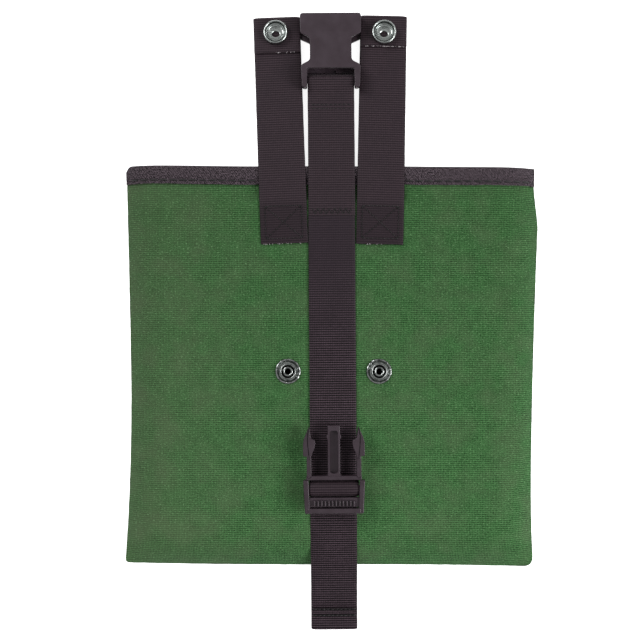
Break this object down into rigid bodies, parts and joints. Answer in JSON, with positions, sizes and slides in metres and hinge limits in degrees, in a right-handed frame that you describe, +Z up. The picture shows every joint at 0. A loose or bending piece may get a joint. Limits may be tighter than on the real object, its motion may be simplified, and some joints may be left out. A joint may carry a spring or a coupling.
{
  "type": "hang-on sand pouch",
  "caption": "Flat open-topped green canvas sand pouch with a bound mouth, snap hanger straps and a centre strap with a side-release buckle.",
  "frame": {"origin": "on the surface the bag lies on, under the middle of the whole piece laid out flat", "axes": "+X across the bag, +Y from the tail of the centre strap towards the mouth and the hangers, +Z up out of the strap panel"},
  "size_m": [0.217, 0.331, 0.0203],
  "materials": {
    "canvas": "mid green plain-weave cotton canvas, matte",
    "binding_tape": "dark brown-black folded twill tape, matte",
    "webbing": "dark brown-black ribbed polypropylene webbing, slight sheen",
    "thread": "bonded polyester thread, near black",
    "snap_metal": "nickel-plated brass, bright with fine wear",
    "buckle_plastic": "moulded acetal, dark brown-black, semi-matte"
  },
  "bodies": {
    "bag": {"strap_panel": "canvas", "rear_panel": "canvas", "front_mouth_binding": "binding_tape", "rear_mouth_binding": "binding_tape", "side_seam_thread": "thread", "front_binding_stitching": "thread", "rear_binding_stitching": "thread", "buckle_strap_anchor": "webbing", "buckle_strap_bartack": "thread", "left_hanger_anchor": "webbing", "right_hanger_anchor": "webbing", "left_hanger_stitching": "thread", "right_hanger_stitching": "thread", "left_stud": "snap_metal", "right_stud": "snap_metal", "left_stud_eyelet": "snap_metal", "right_stud_eyelet": "snap_metal"},
    "left_hanger": {"left_hanger_strap": "webbing", "left_snap_cap": "snap_metal", "left_snap_socket": "snap_metal", "left_snap_spring": "snap_metal"},
    "right_hanger": {"right_hanger_strap": "webbing", "right_snap_cap": "snap_metal", "right_snap_socket": "snap_metal", "right_snap_spring": "snap_metal"},
    "upper_strap": {"upper_buckle_strap": "webbing", "loop_stitching": "thread"},
    "socket_half": {"buckle_socket": "buckle_plastic"},
    "lower_strap": {"lower_buckle_strap": "webbing", "tail_hem_stitching": "thread"},
    "strap_turn": {"webbing_bight": "webbing"},
    "plug_half": {"buckle_plug": "buckle_plastic"},
    "left_arm": {"left_release_arm": "buckle_plastic"},
    "right_arm": {"right_release_arm": "buckle_plastic"}
  },
  "joints": [
    {"name": "left_hanger_fold", "type": "hinge", "parent": "bag", "child": "left_hanger", "pos_m": [-0.0263, 0.0642, 0.01468], "axis": [-0.9993, -0.0375, 0], "range_deg": [-185.74, 0]},
    {"name": "right_hanger_fold", "type": "hinge", "parent": "bag", "child": "right_hanger", "pos_m": [0.0263, 0.0642, 0.01468], "axis": [-0.9999, 0.0164, 0], "range_deg": [-185.74, 0]},
    {"name": "upper_strap_fold", "type": "hinge", "parent": "bag", "child": "upper_strap", "pos_m": [-0.0004, 0.0642, 0.01468], "axis": [1, 0.0077, 0], "range_deg": [0, 183.75]},
    {"name": "socket_swivel", "type": "hinge", "parent": "upper_strap", "child": "socket_half", "pos_m": [-0.0009, 0.12887, 0.0075], "axis": [-1, -0.0077, 0], "range_deg": [-75, 0]},
    {"name": "lower_strap_lift", "type": "hinge", "parent": "bag", "child": "lower_strap", "pos_m": [0.0003, 0.0557, 0.0125], "axis": [1, 0, 0], "range_deg": [-70, 0]},
    {"name": "plug_slide", "type": "slide", "parent": "lower_strap", "child": "strap_turn", "axis": [-0.0077, 1, 0], "range_m": [-0.012, 0.04425]},
    {"name": "plug_tilt", "type": "hinge", "parent": "strap_turn", "child": "plug_half", "pos_m": [0.00078, -0.0889, 0.017], "axis": [-1, -0.0077, 0], "range_deg": [-10, 0]},
    {"name": "left_arm_squeeze", "type": "hinge", "parent": "plug_half", "child": "left_arm", "pos_m": [-0.01245, -0.08185, 0.0176], "axis": [0, 0, 1], "range_deg": [-8, 0], "stiffness_Nm_per_rad": 0.3},
    {"name": "right_arm_squeeze", "type": "hinge", "parent": "plug_half", "child": "right_arm", "pos_m": [0.0139, -0.08165, 0.0176], "axis": [0, 0, -1], "range_deg": [-8, 0], "stiffness_Nm_per_rad": 0.3}
  ]
}
